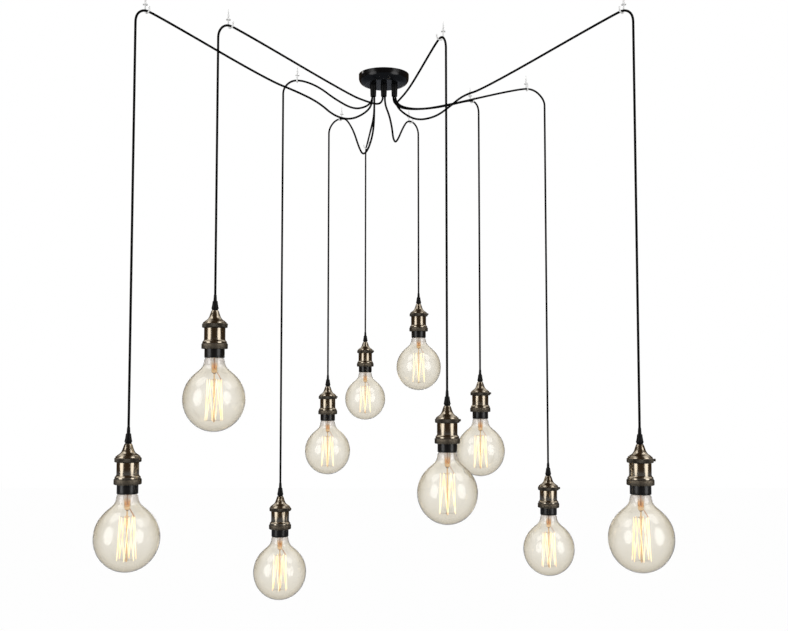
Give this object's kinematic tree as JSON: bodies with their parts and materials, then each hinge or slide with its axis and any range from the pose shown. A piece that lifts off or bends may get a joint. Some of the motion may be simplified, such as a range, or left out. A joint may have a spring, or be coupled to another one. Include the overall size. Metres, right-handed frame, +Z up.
{
  "type": "spider chandelier",
  "caption": "Spider chandelier: black ceiling rose, black cords swagged over ceiling hooks, aged brass lampholders and large globe filament bulbs.",
  "frame": {"origin": "centre of the ceiling rose, in the plane of the ceiling", "axes": "+Z up, +X to the right and -Y towards the viewer in the picture's view"},
  "size_m": [1.1069, 1.3375, 1.292],
  "materials": {
    "black_enamel": "gloss black enamel",
    "zinc_steel": "zinc plated",
    "bright_screw": "polished",
    "black_rubber": "satin",
    "white_nylon": "matt",
    "terminal_plastic": "satin",
    "terminal_brass": "turned",
    "white_enamel": "gloss white enamel",
    "black_cord": "woven textile sleeve",
    "aged_brass": "antiqued and lacquered",
    "black_moulding": "moulded, semi gloss",
    "amber_glass": "clear, tinted",
    "bulb_metal": "plated"
  },
  "bodies": {
    "root": {"canopy": "black_enamel", "mounting_bracket": "zinc_steel", "canopy_screws": "bright_screw", "cord_outlets": "black_rubber", "outlet_nuts": "zinc_steel", "cord_clamps": "white_nylon", "terminal_block": "terminal_plastic", "terminal_screws": "terminal_brass", "ceiling_hooks": "white_enamel", "swag_cords": "black_cord"},
    "pendant_1": {"drop_cord_1": "black_cord", "lampholder_brass_1": "aged_brass", "lampholder_insulation_1": "black_moulding"},
    "bulb_1": {"bulb_glass_1": "amber_glass", "bulb_metal_1": "bulb_metal"},
    "pendant_2": {"drop_cord_2": "black_cord", "lampholder_brass_2": "aged_brass", "lampholder_insulation_2": "black_moulding"},
    "bulb_2": {"bulb_glass_2": "amber_glass", "bulb_metal_2": "bulb_metal"},
    "pendant_3": {"drop_cord_3": "black_cord", "lampholder_brass_3": "aged_brass", "lampholder_insulation_3": "black_moulding"},
    "bulb_3": {"bulb_glass_3": "amber_glass", "bulb_metal_3": "bulb_metal"},
    "pendant_4": {"drop_cord_4": "black_cord", "lampholder_brass_4": "aged_brass", "lampholder_insulation_4": "black_moulding"},
    "bulb_4": {"bulb_glass_4": "amber_glass", "bulb_metal_4": "bulb_metal"},
    "pendant_5": {"drop_cord_5": "black_cord", "lampholder_brass_5": "aged_brass", "lampholder_insulation_5": "black_moulding"},
    "bulb_5": {"bulb_glass_5": "amber_glass", "bulb_metal_5": "bulb_metal"},
    "pendant_6": {"drop_cord_6": "black_cord", "lampholder_brass_6": "aged_brass", "lampholder_insulation_6": "black_moulding"},
    "bulb_6": {"bulb_glass_6": "amber_glass", "bulb_metal_6": "bulb_metal"},
    "pendant_7": {"drop_cord_7": "black_cord", "lampholder_brass_7": "aged_brass", "lampholder_insulation_7": "black_moulding"},
    "bulb_7": {"bulb_glass_7": "amber_glass", "bulb_metal_7": "bulb_metal"},
    "pendant_8": {"drop_cord_8": "black_cord", "lampholder_brass_8": "aged_brass", "lampholder_insulation_8": "black_moulding"},
    "bulb_8": {"bulb_glass_8": "amber_glass", "bulb_metal_8": "bulb_metal"},
    "pendant_9": {"drop_cord_9": "black_cord", "lampholder_brass_9": "aged_brass", "lampholder_insulation_9": "black_moulding"},
    "bulb_9": {"bulb_glass_9": "amber_glass", "bulb_metal_9": "bulb_metal"},
    "pendant_10": {"drop_cord_10": "black_cord", "lampholder_brass_10": "aged_brass", "lampholder_insulation_10": "black_moulding"},
    "bulb_10": {"bulb_glass_10": "amber_glass", "bulb_metal_10": "bulb_metal"}
  },
  "joints": [
    {"name": "pendant_1_swing", "type": "hinge", "parent": "root", "child": "pendant_1", "pos_m": [-0.48499, -0.4886, -0.05176], "axis": [0, 1, 0], "range_deg": [-10, 10]},
    {"name": "bulb_1_unscrew", "type": "slide", "parent": "pendant_1", "child": "bulb_1", "axis": [0, 0, -1], "range_m": [0, 0.024]},
    {"name": "pendant_2_swing", "type": "hinge", "parent": "root", "child": "pendant_2", "pos_m": [-0.33536, -0.41092, -0.059], "axis": [0, 1, 0], "range_deg": [-10, 10]},
    {"name": "bulb_2_unscrew", "type": "slide", "parent": "pendant_2", "child": "bulb_2", "axis": [0, 0, -1], "range_m": [0, 0.024]},
    {"name": "pendant_3_swing", "type": "hinge", "parent": "root", "child": "pendant_3", "pos_m": [-0.24682, -0.00738, -0.05964], "axis": [0, 1, 0], "range_deg": [-10, 10]},
    {"name": "bulb_3_unscrew", "type": "slide", "parent": "pendant_3", "child": "bulb_3", "axis": [0, 0, -1], "range_m": [0, 0.024]},
    {"name": "pendant_4_swing", "type": "hinge", "parent": "root", "child": "pendant_4", "pos_m": [-0.15964, 0.37806, -0.0647], "axis": [0, 1, 0], "range_deg": [-10, 10]},
    {"name": "bulb_4_unscrew", "type": "slide", "parent": "pendant_4", "child": "bulb_4", "axis": [0, 0, -1], "range_m": [0, 0.024]},
    {"name": "pendant_5_swing", "type": "hinge", "parent": "root", "child": "pendant_5", "pos_m": [-0.06527, 0.72388, -0.05384], "axis": [0, 1, 0], "range_deg": [-10, 10]},
    {"name": "bulb_5_unscrew", "type": "slide", "parent": "pendant_5", "child": "bulb_5", "axis": [0, 0, -1], "range_m": [0, 0.024]},
    {"name": "pendant_6_swing", "type": "hinge", "parent": "root", "child": "pendant_6", "pos_m": [0.09467, 0.40833, -0.05809], "axis": [0, 1, 0], "range_deg": [-10, 10]},
    {"name": "bulb_6_unscrew", "type": "slide", "parent": "pendant_6", "child": "bulb_6", "axis": [0, 0, -1], "range_m": [0, 0.024]},
    {"name": "pendant_7_swing", "type": "hinge", "parent": "root", "child": "pendant_7", "pos_m": [0.13497, -0.34325, -0.05856], "axis": [0, 1, 0], "range_deg": [-10, 10]},
    {"name": "bulb_7_unscrew", "type": "slide", "parent": "pendant_7", "child": "bulb_7", "axis": [0, 0, -1], "range_m": [0, 0.024]},
    {"name": "pendant_8_swing", "type": "hinge", "parent": "root", "child": "pendant_8", "pos_m": [0.24936, 0.1905, -0.05008], "axis": [0, 1, 0], "range_deg": [-10, 10]},
    {"name": "bulb_8_unscrew", "type": "slide", "parent": "pendant_8", "child": "bulb_8", "axis": [0, 0, -1], "range_m": [0, 0.024]},
    {"name": "pendant_9_swing", "type": "hinge", "parent": "root", "child": "pendant_9", "pos_m": [0.40629, 0.0732, -0.07141], "axis": [0, 1, 0], "range_deg": [-10, 10]},
    {"name": "bulb_9_unscrew", "type": "slide", "parent": "pendant_9", "child": "bulb_9", "axis": [0, 0, -1], "range_m": [0, 0.024]},
    {"name": "pendant_10_swing", "type": "hinge", "parent": "root", "child": "pendant_10", "pos_m": [0.49689, -0.4886, -0.05176], "axis": [0, 1, 0], "range_deg": [-10, 10]},
    {"name": "bulb_10_unscrew", "type": "slide", "parent": "pendant_10", "child": "bulb_10", "axis": [0, 0, -1], "range_m": [0, 0.024]}
  ]
}
